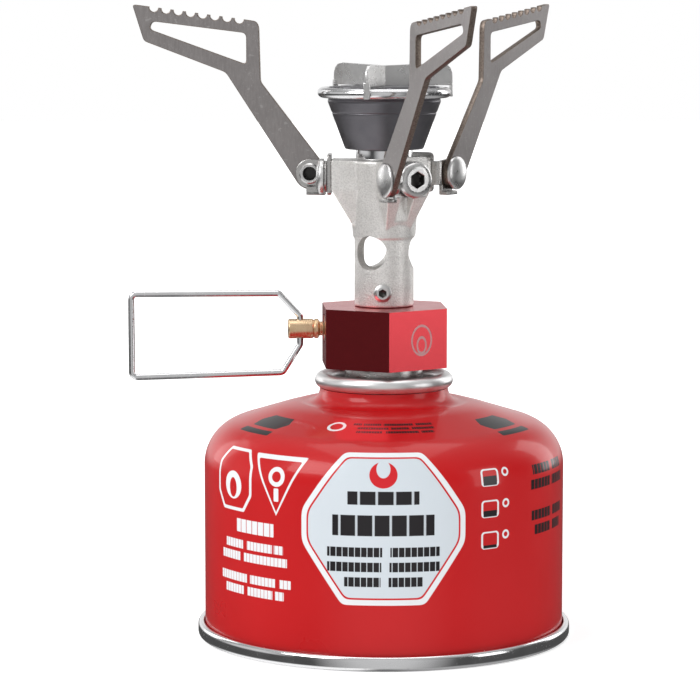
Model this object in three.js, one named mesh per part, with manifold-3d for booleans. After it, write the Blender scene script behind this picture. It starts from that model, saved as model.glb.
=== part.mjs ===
// A folding canister-top camping stove on its screw-threaded gas canister.
// Millimetres, +Z up. The gas canister stands on Z = 0 and its axis is the stove's axis.
// The pot supports stand at 120 degrees to each other and the valve handle points to -X.

import * as THREE from 'three';
import { mergeVertices } from 'three/addons/utils/BufferGeometryUtils.js';
import Module from 'manifold-3d';

const wasm = await Module();
wasm.setup();

// ---- driving dimensions ----

const CANISTER_R = 45;
const CANISTER_WALL = 0.5;
const SHOULDER_Z = 43.3;
const SHOULDER_R = 11.6;
const NECK_R = 16.0;
const NECK_Z = 62.1;
const SEAM_R = 46.8;
const SEAM_Z = 3.6;
const BEAD_R = 15.4;
const BEAD_Z = 64.3;
const BEAD_MINOR = 1.9;
const NIPPLE_R = 5.5;
const NIPPLE_Z = 66.6;

const BLOCK_FLATS = 30;
const BLOCK_BOTTOM = 68.0;
const BLOCK_TOP = 82.8;
const BLOCK_BEVEL = 0.4;
const BLOCK_TURN = 3.6;
const SPINDLE_Z = 77.15;
const KNOB_R = 2.45;
const HANDLE_HOLE_X = -21.0;
const WIRE_R = 0.8;

const TUBE_R = 7.4;
const TUBE_BORE = 5.0;
const CONE_FOOT_Z = 100;
const CASTING_TOP = 119.3;
const AIR_HOLE_R = 4.25;
const AIR_HOLE_Z = 96.4;
const LOCK_Z = 86.6;
const LOCK_AZIMUTH = -3;
const PAD_R = 13.0;
const PAD_FOOT_Z = 112.0;
const PAD_HALF = 5.9;

const CUP_FOOT_Z = 121.9;
const CUP_TOP_R = 14.1;
const CUP_TOP_Z = 133.8;
const CUP_LIP_R = 13.8;
const RING_R = 15.25;
const RING_MINOR = 1.3;
const RING_Z = 135.9;
const PLATE_Z = 136.75;
const CLIP_TOP = 143;

const ARM_TURNS = { left: -91.5, front: 28.5, back: 148.5 };
const BLADE_SPLAY = -3.5;
const SWIVEL_Z = 115.0;
const PIVOT_X = 18.7;
const PIVOT_Z = 115.3;
const BRACKET_SHEET = 1.0;
const BRACKET_INNER_Y = -7.35;
const BLADE_SHEET = 1.5;
const BLADE_GAP = 0.1;
const BLADE_END_R = 4.05;
const RIVET_R = 1.9;

const FINE = 36;
const MEDIUM = 24;
const COARSE = 14;

// ---- materials ----

function finish(colour, roughness, metalness) {
    return () => new THREE.MeshStandardMaterial({ color: colour, roughness, metalness });
}

const redPaint = finish(0xc4161c, 0.25, 0.1);
const redAnodised = finish(0xa01422, 0.3, 0.8);
const tinplate = finish(0xc8c8cc, 0.25, 1.0);
const castAluminium = finish(0xb9b6b0, 0.6, 0.9);
const stainless = finish(0x9a9794, 0.4, 1.0);
const darkSteel = finish(0x55565a, 0.45, 0.9);
const polishedWire = finish(0xd2d4d8, 0.15, 1.0);
const brass = finish(0xb58c5a, 0.35, 1.0);
const blackRubber = finish(0x202022, 0.8, 0.0);
const whitePlastic = finish(0xd9d9d4, 0.6, 0.0);

// ---- shape helpers ----

function radians(degrees) {
    return THREE.MathUtils.degToRad(degrees);
}

// The closed body of a geometry: shared corners merged, faces of no area dropped.
function solid(geometry) {
    const bare = geometry.clone();
    bare.deleteAttribute('normal');
    bare.deleteAttribute('uv');
    const merged = mergeVertices(bare, 1e-4);
    const corners = merged.index.array;
    const kept = [];
    for (let i = 0; i < corners.length; i += 3) {
        const [a, b, c] = corners.slice(i, i + 3);
        if (a !== b && b !== c && c !== a) {
            kept.push(a, b, c);
        }
    }
    const mesh = new wasm.Mesh({
        numProp: 3,
        vertProperties: Float32Array.from(merged.attributes.position.array),
        triVerts: Uint32Array.from(kept),
    });
    return new wasm.Manifold(mesh);
}

function geometryOf(body) {
    const { vertProperties, triVerts, numProp } = body.getMesh();
    const geometry = new THREE.BufferGeometry();
    const positions = new Float32Array((vertProperties.length / numProp) * 3);
    for (let i = 0; i < positions.length / 3; i += 1) {
        for (let k = 0; k < 3; k += 1) {
            positions[3 * i + k] = vertProperties[numProp * i + k];
        }
    }
    geometry.setAttribute('position', new THREE.BufferAttribute(positions, 3));
    geometry.setIndex(Array.from(triVerts));
    geometry.computeVertexNormals();
    return geometry;
}

// A turned piece about +Z from [radius, z] pairs listed with the metal on the left.
function turned(profile, segments = MEDIUM) {
    const points = profile.map(([r, z]) => new THREE.Vector2(r, z));
    const onAxis = profile[0][0] === 0 && profile[profile.length - 1][0] === 0;
    if (!onAxis) {
        points.push(points[0].clone());
    }
    return new THREE.LatheGeometry(points, segments).rotateX(Math.PI / 2);
}

// The same about +X, for screws and the valve spindle.
function turnedAlongX(profile, segments = COARSE) {
    return turned(profile, segments).rotateY(Math.PI / 2);
}

// The same about +Y, for rivets.
function turnedAlongY(profile, segments = COARSE) {
    return turned(profile, segments).rotateX(-Math.PI / 2);
}

function rod(radius, low, high, segments = COARSE) {
    return turned([[0, low], [radius, low], [radius, high], [0, high]], segments);
}

function rodAlongX(radius, low, high, segments = COARSE) {
    return rod(radius, low, high, segments).rotateY(Math.PI / 2);
}

function rodAlongY(radius, low, high, segments = COARSE) {
    return rod(radius, low, high, segments).rotateX(-Math.PI / 2);
}

function block(low, high) {
    const size = high.map((value, i) => value - low[i]);
    const centre = high.map((value, i) => (value + low[i]) / 2);
    return new THREE.BoxGeometry(...size).translate(...centre);
}

// A plate whose outline lies in the XZ plane, from y = near to y = near - sheet.
function plateXZ(shape, sheet, near, curveSegments = 4) {
    const options = { depth: sheet, bevelEnabled: false, curveSegments };
    return new THREE.ExtrudeGeometry(shape, options).rotateX(Math.PI / 2).translate(0, near, 0);
}

function shapeOf(points) {
    return new THREE.Shape(points.map(([x, z]) => new THREE.Vector2(x, z)));
}

// A round hole drawn just outside its circle, so that a shaft of that radius clears it.
function roundHole(radius, sides) {
    const cornerR = radius / Math.cos(Math.PI / sides);
    const corners = [];
    for (let i = 0; i < sides; i += 1) {
        const angle = (-2 * Math.PI * i) / sides;
        corners.push(new THREE.Vector2(cornerR * Math.cos(angle), cornerR * Math.sin(angle)));
    }
    return new THREE.Path(corners);
}

// A straight-sided outline with its corners rounded.
function roundedOutline(points, radius, Kind = THREE.Shape) {
    const outline = new Kind();
    points.forEach(([x, z], i) => {
        const corner = new THREE.Vector2(x, z);
        const before = new THREE.Vector2(...points[(i + points.length - 1) % points.length]);
        const after = new THREE.Vector2(...points[(i + 1) % points.length]);
        const start = corner.clone().add(before.sub(corner).setLength(radius));
        const end = corner.clone().add(after.sub(corner).setLength(radius));
        if (i === 0) {
            outline.moveTo(start.x, start.y);
        } else {
            outline.lineTo(start.x, start.y);
        }
        outline.quadraticCurveTo(corner.x, corner.y, end.x, end.y);
    });
    outline.closePath();
    return outline;
}

// Points on an arc in a profile, from one angle to another in degrees.
function arc(centreR, centreZ, radius, from, to, steps) {
    const points = [];
    for (let i = 0; i <= steps; i += 1) {
        const angle = radians(from + ((to - from) * i) / steps);
        points.push([centreR + radius * Math.cos(angle), centreZ + radius * Math.sin(angle)]);
    }
    return points;
}

function aroundZ(geometry, degrees) {
    return geometry.rotateZ(radians(degrees));
}

// Azimuth 0 is -Y and grows towards +X; an arm's own +X points outward.
function outward(azimuth) {
    return azimuth - 90;
}

const assembly = new THREE.Group();
assembly.name = 'camping_stove';

function add(name, geometry, material, parent = assembly) {
    const mesh = new THREE.Mesh(geometry, material());
    mesh.name = name;
    parent.add(mesh);
    return mesh;
}

// ---- gas canister ----

function canisterWall(offset) {
    const r = CANISTER_R - offset;
    const shoulder = arc(CANISTER_R - SHOULDER_R, SHOULDER_Z, SHOULDER_R - offset, 0, 75, 4);
    return [[r, 1.2], ...shoulder, [19.2 - offset / 3, 59.9 - offset], [NECK_R - offset, 61.0 - offset / 3]];
}

function canisterBody() {
    const outer = canisterWall(0);
    const inner = canisterWall(CANISTER_WALL).reverse();
    return turned([...outer, [NECK_R, NECK_Z], [NECK_R - CANISTER_WALL, NECK_Z], ...inner], FINE);
}

function canisterBase() {
    const under = [[0, 8.0], [15, 7.5], [30, 5.8], [42.4, 3.0], [43.5, 2.4]];
    const rim = [[43.9, 0.4], [44.3, 0], [46.3, 0], [SEAM_R, 0.5], [SEAM_R, 3.1], [46.3, SEAM_Z]];
    const seat = [[45.3, SEAM_Z], [45.3, 0.8], [44.2, 0.8], [44.2, 3.2], [42.8, 3.7]];
    const over = [[30, 6.5], [15, 8.2], [0, 8.7]];
    return turned([...under, ...rim, ...seat, ...over], FINE);
}

function valveCup() {
    const bead = arc(BEAD_R, BEAD_Z, BEAD_MINOR, -90, 180, 6);
    const recess = [[13.5, 58.6], [12.8, 58.0], [6.4, 58.4], [NIPPLE_R, 59.2], [NIPPLE_R, NIPPLE_Z]];
    const bore = [[2.6, NIPPLE_Z], [2.6, 65.8], [4.9, 65.8], [4.9, 58.8]];
    const under = [[6.2, 57.7], [13.1, 57.3], [14.1, 58.2], [14.1, 62.0]];
    return turned([...bead, ...recess, ...bore, ...under], 28);
}

function ring(inner, outer, low, high, segments = MEDIUM) {
    return turned([[inner, low], [outer, low], [outer, high], [inner, high]], segments);
}

function valveHousing() {
    return turned([
        [0.9, 48], [2.2, 48], [2.2, 51], [4.6, 51.5], [4.6, 64.7], [3.4, 64.7], [3.4, 52.8], [0.9, 52.8],
    ], COARSE);
}

function valveStem() {
    const guide = [[0, 56], [1.3, 56], [1.3, 61.8], [3.0, 61.8], [3.0, 64.2]];
    return turned([...guide, [1.9, 64.6], [1.9, 65.9], [0, 65.9]], COARSE);
}

class SpringPath extends THREE.Curve {
    constructor(radius, low, high, turns) {
        super();
        Object.assign(this, { radius, low, high, turns });
    }

    getPoint(t, target = new THREE.Vector3()) {
        const angle = 2 * Math.PI * this.turns * t;
        const z = this.low + (this.high - this.low) * t;
        return target.set(this.radius * Math.cos(angle), this.radius * Math.sin(angle), z);
    }
}

function wireAlong(path, radius, sides, steps) {
    const section = new THREE.Shape();
    for (let i = 0; i < sides; i += 1) {
        const angle = (2 * Math.PI * i) / sides;
        const x = radius * Math.cos(angle);
        const y = radius * Math.sin(angle);
        if (i === 0) {
            section.moveTo(x, y);
        } else {
            section.lineTo(x, y);
        }
    }
    section.closePath();
    return new THREE.ExtrudeGeometry(section, { steps, bevelEnabled: false, extrudePath: path });
}

add('canister_body', canisterBody(), redPaint);
add('canister_base', canisterBase(), tinplate);
add('valve_cup', valveCup(), tinplate);
add('cup_gasket', ring(14.3, 15.3, 60.6, 61.8), blackRubber);
add('valve_housing', valveHousing(), whitePlastic);
add('stem_gasket', ring(2.1, 4.5, 64.9, 65.6, COARSE), blackRubber);
add('valve_stem', valveStem(), brass);
add('valve_spring', wireAlong(new SpringPath(2.35, 53.4, 61.3, 5), 0.35, 5, 40), stainless);

// ---- valve block and its gas way ----

function hexagon(flats) {
    const cornerR = flats / Math.sqrt(3);
    const corners = [30, 90, 150, 210, 270, 330].map(radians);
    return shapeOf(corners.map((angle) => [cornerR * Math.cos(angle), cornerR * Math.sin(angle)]));
}

function valveBlock() {
    const options = {
        depth: BLOCK_TOP - BLOCK_BOTTOM - 2 * BLOCK_BEVEL,
        bevelThickness: BLOCK_BEVEL,
        bevelSize: BLOCK_BEVEL,
        bevelSegments: 1,
    };
    const prism = new THREE.ExtrudeGeometry(hexagon(BLOCK_FLATS - 2 * BLOCK_BEVEL), options);
    prism.translate(0, 0, BLOCK_BOTTOM + BLOCK_BEVEL);
    return solid(prism)
        .subtract(solid(rod(8.6, BLOCK_BOTTOM - 1, 75.2, MEDIUM)))
        .subtract(solid(rod(3.0, 78.5, BLOCK_TOP + 1)))
        .subtract(solid(rod(1.2, 74, 79)))
        .subtract(solid(rodAlongX(2.3, -20, -1.6).translate(0, 0, SPINDLE_Z)))
        .subtract(solid(rodAlongX(3.7, -20, -9.8).translate(0, 0, SPINDLE_Z)));
}

function threadedConnector() {
    return turned([
        [5.75, 62.6], [9.4, 62.6], [9.8, 63.0], [9.8, 67.6], [8.3, 67.9], [8.3, 75.0],
        [3.0, 75.0], [3.0, 67.25], [5.75, 67.25],
    ]);
}

function depressorPin() {
    return turned([[0, 66.3], [0.9, 66.3], [0.9, 70.5], [2.7, 70.5], [2.7, 71.4], [0, 71.4]], COARSE);
}

function gasJet() {
    return turned([
        [0.9, 78.8], [2.7, 78.8], [2.7, 84.0], [3.0, 84.2], [3.0, 85.4], [1.6, 85.8], [1.6, 86.8],
        [0.35, 86.8], [0.35, 86.2], [0.9, 85.6],
    ], COARSE);
}

const valveGroup = new THREE.Group();
valveGroup.rotation.z = radians(BLOCK_TURN);
assembly.add(valveGroup);

add('valve_block', geometryOf(valveBlock()), redAnodised, valveGroup);
add('threaded_connector', threadedConnector(), stainless);
add('connector_oring', ring(3.2, 5.4, 66.7, 67.2), blackRubber);
add('depressor_pin', depressorPin(), brass);
add('gas_filter', rod(2.7, 72.0, 74.2), brass);
add('gas_jet', gasJet(), brass);

// ---- valve spindle, knob and wire handle, all on the spindle axis ----

function alongSpindle(geometry) {
    return geometry.translate(0, 0, SPINDLE_Z);
}

function needleSpindle() {
    const needle = [
        [0, -2.0], [0.9, -5.0], [1.6, -5.2], [1.6, -15.0], [1.2, -15.2], [1.2, -19.2], [0, -19.2],
    ];
    return turnedAlongX(needle.reverse());
}

function spindleKnob() {
    const blank = turnedAlongX([
        [0, -24.0], [2.2, -24.0], [KNOB_R, -23.7], [KNOB_R, -18.3], [2.1, -18.1], [2.1, -17.5],
        [KNOB_R, -17.3], [KNOB_R, -16.5], [1.75, -16.3], [1.75, -15.3], [1.4, -15.3], [1.4, -19.4],
        [0, -19.4],
    ]);
    const crossHole = rod(WIRE_R + 0.2, -5, 5, 12).translate(HANDLE_HOLE_X, 0, 0);
    return solid(blank).subtract(solid(crossHole));
}

function valveGland() {
    return turnedAlongX([[1.95, -14.9], [3.4, -14.9], [3.4, -10.2], [1.95, -10.2]]);
}

function lineOfWire(points, cornerR) {
    const path = new THREE.CurvePath();
    let at = points[0];
    for (let i = 1; i < points.length; i += 1) {
        const corner = points[i];
        if (i === points.length - 1) {
            path.add(new THREE.LineCurve3(at, corner));
            break;
        }
        const next = points[i + 1];
        const start = corner.clone().add(at.clone().sub(corner).setLength(cornerR));
        const end = corner.clone().add(next.clone().sub(corner).setLength(cornerR));
        path.add(new THREE.LineCurve3(at, start));
        path.add(new THREE.QuadraticBezierCurve3(start, corner, end));
        at = end;
    }
    return path;
}

function wireHandle() {
    const loop = [
        [HANDLE_HOLE_X, 78.1], [HANDLE_HOLE_X, 81.0], [-26.3, 86.0], [-63.0, 86.0],
        [-63.0, 65.3], [-25.6, 66.0], [HANDLE_HOLE_X, 73.0], [HANDLE_HOLE_X, 76.2],
    ];
    const points = loop.map(([x, z]) => new THREE.Vector3(x, 0, z));
    return wireAlong(lineOfWire(points, 1.4), WIRE_R, 6, 64);
}

add('needle_spindle', alongSpindle(needleSpindle()), brass, valveGroup);
add('spindle_knob', geometryOf(spindleKnob()).translate(0, 0, SPINDLE_Z), brass, valveGroup);
add('valve_gland', alongSpindle(valveGland()), brass, valveGroup);
const oring = [[1.75, -8.2], [2.15, -8.2], [2.15, -7.4], [1.75, -7.4]];
add('spindle_oring', alongSpindle(turnedAlongX(oring)), blackRubber, valveGroup);
add('wire_handle', wireHandle(), polishedWire, valveGroup);

// ---- cast burner body: mixing tube, cone and the three support pads ----

function supportWing() {
    const side = shapeOf([
        [5.8, 99.5], [PAD_R - 0.3, PAD_FOOT_Z - 0.5], [PAD_R, PAD_FOOT_Z],
        [PAD_R, CASTING_TOP], [5.8, CASTING_TOP],
    ]);
    const front = shapeOf([
        [-2.9, 99.0], [2.9, 99.0], [PAD_HALF, PAD_FOOT_Z],
        [PAD_HALF, 120], [-PAD_HALF, 120], [-PAD_HALF, PAD_FOOT_Z],
    ]);
    const profile = solid(plateXZ(side, 2 * PAD_HALF + 2, PAD_HALF + 1));
    const taper = solid(plateXZ(front, 20, 0).rotateZ(Math.PI / 2));
    const channel = solid(block([8.6, -1.7, 98], [PAD_R + 1, 1.7, PAD_FOOT_Z]));
    return profile.intersect(taper).subtract(channel);
}

function burnerBody() {
    const core = turned([
        [3.3, BLOCK_TOP + 0.05], [TUBE_R, BLOCK_TOP + 0.05], [TUBE_R, CONE_FOOT_Z],
        [TUBE_R + 0.35, CONE_FOOT_Z + 0.3], [9.0, CASTING_TOP - 0.3], [8.7, CASTING_TOP],
        [TUBE_BORE, CASTING_TOP], [TUBE_BORE, 87.2], [3.3, 87.0],
    ]);
    let body = solid(core);
    const wing = supportWing();
    const bore = solid(rod(TUBE_BORE, 87.2, CASTING_TOP + 1, MEDIUM));
    const screwHole = solid(rodAlongX(2.1, 7.4, PAD_R + 1).translate(0, 0, SWIVEL_Z));
    Object.values(ARM_TURNS).forEach((azimuth) => {
        const turn = [0, 0, outward(azimuth)];
        body = body.add(wing.rotate(turn)).subtract(screwHole.rotate(turn));
    });
    const airHole = solid(rodAlongX(AIR_HOLE_R, 3, 10, 24).translate(0, 0, AIR_HOLE_Z));
    [-30, 90, 210].forEach((azimuth) => {
        body = body.subtract(airHole.rotate([0, 0, outward(azimuth)]));
    });
    const lockHole = solid(rodAlongX(1.2, 4.2, 9, 12).translate(0, 0, LOCK_Z));
    return body.subtract(bore).subtract(lockHole.rotate([0, 0, outward(LOCK_AZIMUTH)]));
}

function lockScrew() {
    const head = turnedAlongX([
        [0, 4.7], [0.95, 4.7], [0.95, 7.5], [2.2, 7.5], [2.2, 7.9], [1.7, 8.3], [0, 8.3],
    ], 16);
    return aroundZ(head.translate(0, 0, LOCK_Z), outward(LOCK_AZIMUTH));
}

add('burner_body', geometryOf(burnerBody()), castAluminium);
add('lock_screw', lockScrew(), stainless);

// ---- burner head ----

function burnerNeck() {
    return turned([
        [TUBE_BORE, CASTING_TOP + 0.05], [7.1, CASTING_TOP + 0.05], [7.1, CUP_FOOT_Z - 0.05],
        [5.7, CUP_FOOT_Z - 0.05], [5.7, 123.4], [TUBE_BORE, 123.4],
    ]);
}

function burnerCup() {
    return turned([
        [5.9, CUP_FOOT_Z], [9.2, CUP_FOOT_Z], [9.8, CUP_FOOT_Z + 0.5], [CUP_TOP_R, CUP_TOP_Z],
        [CUP_LIP_R, CUP_TOP_Z + 0.7], [CUP_LIP_R, 136.6], [CUP_LIP_R - 0.5, 136.6],
        [CUP_LIP_R - 0.5, CUP_TOP_Z - 0.7], [9.3, CUP_FOOT_Z + 0.6], [5.9, CUP_FOOT_Z + 0.6],
    ], FINE);
}

function flamePlate() {
    const disc = new THREE.Shape();
    const waves = 18;
    const steps = 4 * waves;
    for (let i = 0; i < steps; i += 1) {
        const angle = (2 * Math.PI * i) / steps;
        const r = 13.3 + 0.35 * Math.cos(waves * angle);
        const x = r * Math.cos(angle);
        const y = r * Math.sin(angle);
        if (i === 0) {
            disc.moveTo(x, y);
        } else {
            disc.lineTo(x, y);
        }
    }
    disc.closePath();
    const ports = 12;
    for (let i = 0; i < ports; i += 1) {
        const angle = (2 * Math.PI * (i + 0.5)) / ports;
        const port = new THREE.Path();
        port.absarc(9.6 * Math.cos(angle), 9.6 * Math.sin(angle), 1.0, 0, 2 * Math.PI, true);
        disc.holes.push(port);
    }
    const options = { depth: 0.6, bevelEnabled: false, curveSegments: 3 };
    return new THREE.ExtrudeGeometry(disc, options).translate(0, 0, PLATE_Z);
}

function clipFin() {
    const top = CLIP_TOP;
    const foot = PLATE_Z + 0.75;
    const fin = new THREE.Shape();
    fin.moveTo(-0.2, foot);
    fin.lineTo(17.6, foot);
    fin.lineTo(17.6, top - 3.6);
    fin.quadraticCurveTo(17.3, top, 14.4, top);
    fin.lineTo(-0.2, top - 0.5);
    fin.closePath();
    const hook = block([16.9, -0.8, RING_Z - RING_MINOR], [17.5, 0.8, foot + 1.0]);
    return solid(plateXZ(fin, 0.6, 0.3)).add(solid(hook));
}

function windClip() {
    const fin = clipFin();
    return [-15, 105, 225]
        .map((azimuth) => fin.rotate([0, 0, outward(azimuth)]))
        .reduce((joined, next) => joined.add(next));
}

add('burner_neck', burnerNeck(), tinplate);
add('burner_cup', burnerCup(), darkSteel);
const bead = new THREE.TorusGeometry(RING_R, RING_MINOR, 8, 30).translate(0, 0, RING_Z);
add('burner_ring', bead, polishedWire);
add('flame_plate', flamePlate(), stainless);
add('wind_clip', geometryOf(windClip()), stainless);

// ---- the three folding pot supports ----

function pivotScrew() {
    const blank = turnedAlongX([
        [0, 7.8], [1.9, 7.8], [1.9, 14.95], [4.5, 14.95], [4.5, 15.8], [3.9, 16.6], [3.1, 16.9], [0, 16.9],
    ]);
    const socket = new THREE.CylinderGeometry(2.1, 2.1, 2, 6).rotateZ(Math.PI / 2).translate(16.7, 0, 0);
    return geometryOf(solid(blank).subtract(solid(socket))).translate(0, 0, SWIVEL_Z);
}

function pivotWasher() {
    const low = 14.25;
    const high = 14.8;
    const profile = [[2.2, low], [3.9, low], [3.9, high], [2.2, high]];
    return turnedAlongX(profile).translate(0, 0, SWIVEL_Z);
}

const LEG_OUTER_Y = BRACKET_INNER_Y - BRACKET_SHEET;
const BLADE_INNER_Y = LEG_OUTER_Y - BLADE_GAP;
const BLADE_OUTER_Y = BLADE_INNER_Y - BLADE_SHEET;

// The blade, its rivet and the bracket's leg are splayed a little about the pivot's upright.
function splayed(geometry) {
    const middleY = (BLADE_INNER_Y + BLADE_OUTER_Y) / 2;
    return geometry
        .translate(-PIVOT_X, -middleY, 0)
        .rotateZ(radians(BLADE_SPLAY))
        .translate(PIVOT_X, middleY, 0);
}

function swivelBracket() {
    const baseInner = PAD_R + 0.1;
    const baseOuter = baseInner + BRACKET_SHEET;
    const legFoot = baseInner + 0.3;
    const base = solid(block([baseInner, -6.2, 110.6], [baseOuter, 4.4, 120.6]));
    const wrap = solid(block([baseInner, LEG_OUTER_Y + 0.1, 112.4], [baseOuter, -6, 118.4]));
    const legShape = new THREE.Shape();
    legShape.moveTo(legFoot, 112.4);
    legShape.lineTo(PIVOT_X, PIVOT_Z - 3.6);
    legShape.absarc(PIVOT_X, PIVOT_Z, 3.6, -Math.PI / 2, Math.PI / 2, false);
    legShape.lineTo(legFoot, 118.4);
    legShape.closePath();
    const leg = solid(splayed(plateXZ(legShape, BRACKET_SHEET, BRACKET_INNER_Y, 5)));
    const tabLow = PIVOT_Z - BLADE_END_R - 1.4;
    const drop = solid(splayed(block([14.8, LEG_OUTER_Y, tabLow], [19.6, BRACKET_INNER_Y, 112.6])));
    const tab = solid(splayed(block([14.8, BLADE_OUTER_Y, tabLow], [19.6, BRACKET_INNER_Y, tabLow + 1.0])));
    const screwHole = solid(rodAlongX(2.1, PAD_R - 1, PAD_R + 3).translate(0, 0, SWIVEL_Z));
    const rivetHole = solid(splayed(rodAlongY(RIVET_R + 0.15, -12, -5).translate(PIVOT_X, 0, PIVOT_Z)));
    return base.add(wrap).add(leg).add(drop).add(tab).subtract(screwHole).subtract(rivetHole);
}

function pivotRivet() {
    const head = BLADE_OUTER_Y - 0.08;
    const flare = BRACKET_INNER_Y + 0.08;
    const rivet = turnedAlongY([
        [0, head - 1.2], [2.4, head - 0.95], [3.7, head - 0.5], [4.2, head], [RIVET_R, head],
        [RIVET_R, flare], [2.6, flare], [2.5, flare + 0.6], [1.4, flare + 0.7],
        [1.4, flare - 2.0], [0, flare - 2.0],
    ], 16);
    return splayed(rivet.translate(PIVOT_X, 0, PIVOT_Z));
}

// Outline of one pot support about its rivet, outward and up, with its serrated rest edge.
function potSupportOutline() {
    const outline = new THREE.Shape();
    const armAngle = radians(55);
    outline.absarc(0, 0, BLADE_END_R, armAngle + Math.PI / 2, armAngle + 1.5 * Math.PI, false);
    outline.lineTo(21.3, 25.2);
    outline.lineTo(41.2, 32.7);
    outline.quadraticCurveTo(42.0, 33.1, 42.3, 34.0);
    outline.lineTo(44.7, 41.2);
    outline.quadraticCurveTo(44.9, 42.2, 44.0, 42.1);
    const restStart = new THREE.Vector2(41.0, 41.7);
    const restEnd = new THREE.Vector2(16.3, 38.4);
    const along = restEnd.clone().sub(restStart);
    const slope = along.angle();
    const scallops = 8;
    const scallopR = 1.2;
    for (let i = 0; i < scallops; i += 1) {
        const centre = restStart.clone().addScaledVector(along, (i + 0.5) / scallops);
        outline.absarc(centre.x, centre.y, scallopR, slope + Math.PI, slope, true);
    }
    outline.lineTo(restEnd.x, restEnd.y);
    outline.quadraticCurveTo(12.9, 37.9, 12.8, 34.6);
    outline.lineTo(12.5, 22.9);
    outline.closePath();
    const window = [[39.9, 37.95], [16.1, 35.0], [16.1, 27.2], [40.6, 35.95]];
    outline.holes.push(roundedOutline(window, 1.0, THREE.Path));
    outline.holes.push(roundHole(RIVET_R + 0.15, COARSE));
    return outline;
}

function potSupport() {
    const blade = plateXZ(potSupportOutline(), BLADE_SHEET, BLADE_INNER_Y, 3);
    return splayed(blade.translate(PIVOT_X, 0, PIVOT_Z));
}

Object.entries(ARM_TURNS).forEach(([side, azimuth]) => {
    const arm = new THREE.Group();
    arm.rotation.z = radians(outward(azimuth));
    assembly.add(arm);
    add(`pivot_screw_${side}`, pivotScrew(), stainless, arm);
    add(`pivot_washer_${side}`, pivotWasher(), stainless, arm);
    add(`swivel_bracket_${side}`, geometryOf(swivelBracket()), stainless, arm);
    add(`pivot_rivet_${side}`, pivotRivet(), stainless, arm);
    add(`pot_support_${side}`, potSupport(), stainless, arm);
});

// ---- the row frame: its origin is the bottom centre of the whole stove's box ----

assembly.updateMatrixWorld(true);
const extent = new THREE.Box3().setFromObject(assembly, true);
assembly.position.set(-(extent.min.x + extent.max.x) / 2, -(extent.min.y + extent.max.y) / 2, -extent.min.z);
assembly.updateMatrixWorld(true);

export default assembly;
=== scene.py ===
import math

import bmesh
import bpy
from mathutils import Matrix, Vector


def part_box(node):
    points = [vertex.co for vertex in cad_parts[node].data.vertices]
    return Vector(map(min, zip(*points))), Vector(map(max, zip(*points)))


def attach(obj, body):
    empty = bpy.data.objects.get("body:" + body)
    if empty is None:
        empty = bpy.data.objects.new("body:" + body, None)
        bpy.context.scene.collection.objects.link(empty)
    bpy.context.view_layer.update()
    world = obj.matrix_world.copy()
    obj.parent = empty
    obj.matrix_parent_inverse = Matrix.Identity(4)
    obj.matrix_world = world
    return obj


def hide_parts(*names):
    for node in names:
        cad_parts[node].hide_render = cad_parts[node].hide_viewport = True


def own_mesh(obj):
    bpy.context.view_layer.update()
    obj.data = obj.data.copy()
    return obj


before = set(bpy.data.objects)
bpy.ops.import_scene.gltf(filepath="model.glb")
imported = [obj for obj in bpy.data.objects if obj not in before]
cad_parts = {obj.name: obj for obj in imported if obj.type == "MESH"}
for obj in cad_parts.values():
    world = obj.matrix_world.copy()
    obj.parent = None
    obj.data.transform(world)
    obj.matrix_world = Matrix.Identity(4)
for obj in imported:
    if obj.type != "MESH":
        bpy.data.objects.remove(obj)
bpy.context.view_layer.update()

# ---- Gas canister: drawn steel body ----
# The body is one deep-drawn steel can with a rolled shoulder and a short neck.
# It is lacquered red, printed in white, black and red, and clear-coated; the foot and
# the valve cup are seamed and crimped on to it.

MM = 0.001
can_low, can_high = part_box("canister_body")
AXIS = Vector(((can_low[0] + can_high[0]) / 2, (can_low[1] + can_high[1]) / 2, 0))
ON_AXIS = Matrix.Translation(AXIS) @ Matrix.Scale(MM, 4)


def eased(corners, radius, steps=3):
    """A profile or outline with each corner rounded by about this radius."""
    points = []
    count = len(corners)
    for i, corner in enumerate(corners):
        here = Vector(corner)
        if here.x == 0 and i in (0, count - 1):
            points.append(tuple(here))
            continue
        before, after = Vector(corners[i - 1]), Vector(corners[(i + 1) % count])
        reach_in = min(radius, (before - here).length * 0.45)
        reach_out = min(radius, (after - here).length * 0.45)
        start = here + (before - here).normalized() * reach_in
        end = here + (after - here).normalized() * reach_out
        for k in range(steps + 1):
            t = k / steps
            at = start.lerp(here, t).lerp(here.lerp(end, t), t)
            points.append((at.x, at.y))
    return points


def arc(centre, radius, first, last, steps):
    """Points on an arc, its angles in degrees."""
    turns = [math.radians(first + (last - first) * k / steps) for k in range(steps + 1)]
    return [(centre[0] + radius * math.cos(a), centre[1] + radius * math.sin(a)) for a in turns]


def made(name, corners, faces, place, crease=32):
    """A mesh object in the row frame, its faces outward and its sharp edges kept sharp."""
    mesh = bpy.data.meshes.new(name)
    mesh.from_pydata([place @ Vector(c) for c in corners], [], faces)
    work = bmesh.new()
    work.from_mesh(mesh)
    bmesh.ops.remove_doubles(work, verts=work.verts, dist=1e-7)
    bmesh.ops.recalc_face_normals(work, faces=work.faces)
    work.to_mesh(mesh)
    work.free()
    mesh.shade_smooth()
    mesh.set_sharp_from_angle(angle=math.radians(crease))
    built = bpy.data.objects.new(name, mesh)
    bpy.context.collection.objects.link(built)
    return built


def settle(built, material, body, slot, *nodes):
    """Gives a piece its material, the CAD body it rides on and the nodes it stands for; the slot argument
    is not used.
    """
    built.data.materials.clear()
    built.data.materials.append(material)
    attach(built, body)
    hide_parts(*nodes)


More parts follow.
